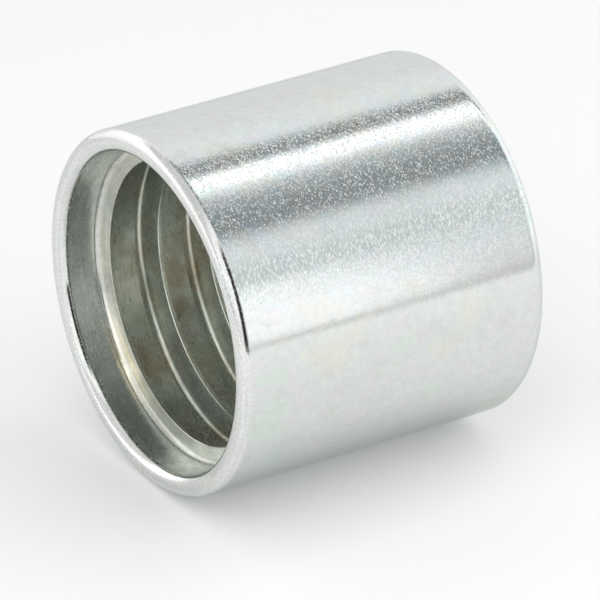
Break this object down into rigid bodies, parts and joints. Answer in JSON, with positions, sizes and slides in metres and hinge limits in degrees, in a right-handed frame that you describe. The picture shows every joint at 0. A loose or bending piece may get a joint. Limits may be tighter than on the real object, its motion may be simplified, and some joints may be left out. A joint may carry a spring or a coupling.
{
  "type": "crimp hose ferrule",
  "caption": "Plain zinc-plated steel sleeve, crimped over a hose and its fitting: grip teeth inside the open end and an inward collar at the other end.",
  "frame": {"origin": "centre of the collar end's face, on the sleeve's axis, where the sleeve stands", "axes": "+Z along the sleeve's axis, out of the open end where the hose goes in"},
  "size_m": [0.031, 0.031, 0.0291],
  "materials": {
    "zinc_plated_steel": "turned steel with bright zinc plating, satin, with a faint colour sheen"
  },
  "bodies": {
    "root": {"ferrule": "zinc_plated_steel"}
  },
  "joints": []
}
